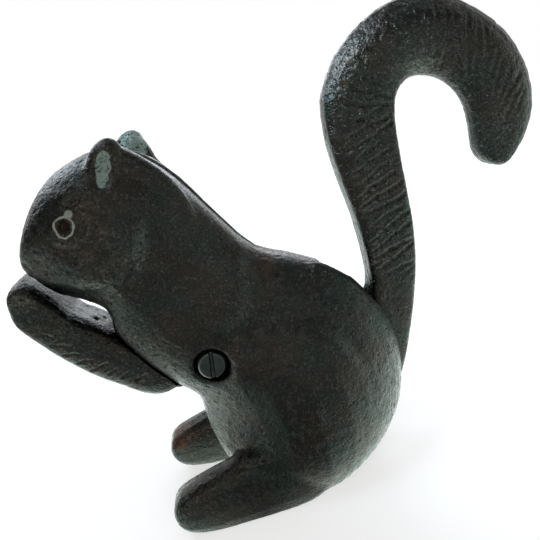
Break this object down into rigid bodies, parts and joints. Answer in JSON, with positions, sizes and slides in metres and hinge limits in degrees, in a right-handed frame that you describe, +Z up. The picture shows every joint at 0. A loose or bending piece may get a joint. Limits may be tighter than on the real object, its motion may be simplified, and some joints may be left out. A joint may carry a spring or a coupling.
{
  "type": "lever nutcracker",
  "caption": "Cast-iron squirrel nutcracker. Its hooked tail is a lever handle on a screw pivot, and its forearms press a nut up against the muzzle.",
  "frame": {"origin": "on the ground under the middle of the object, with the tail down", "axes": "+Z up, the squirrel faces -X, and its left flank with the screw's head is on -Y"},
  "size_m": [0.2002, 0.0594, 0.1717],
  "materials": {
    "iron": "sand-cast, blackened and rubbed at the edges",
    "steel": "dark, smooth, slightly worn"
  },
  "bodies": {
    "body": {"left_body_casting": "iron", "right_body_casting": "iron", "pivot_screw": "steel", "pivot_nut": "steel", "head_dowel": "steel", "haunch_dowel": "steel"},
    "lever": {"tail_lever": "iron"}
  },
  "joints": [
    {"name": "tail_pivot", "type": "hinge", "parent": "body", "child": "lever", "pos_m": [-0.03557, 0, 0.0645], "axis": [0, -1, 0], "range_deg": [0, 20]}
  ]
}
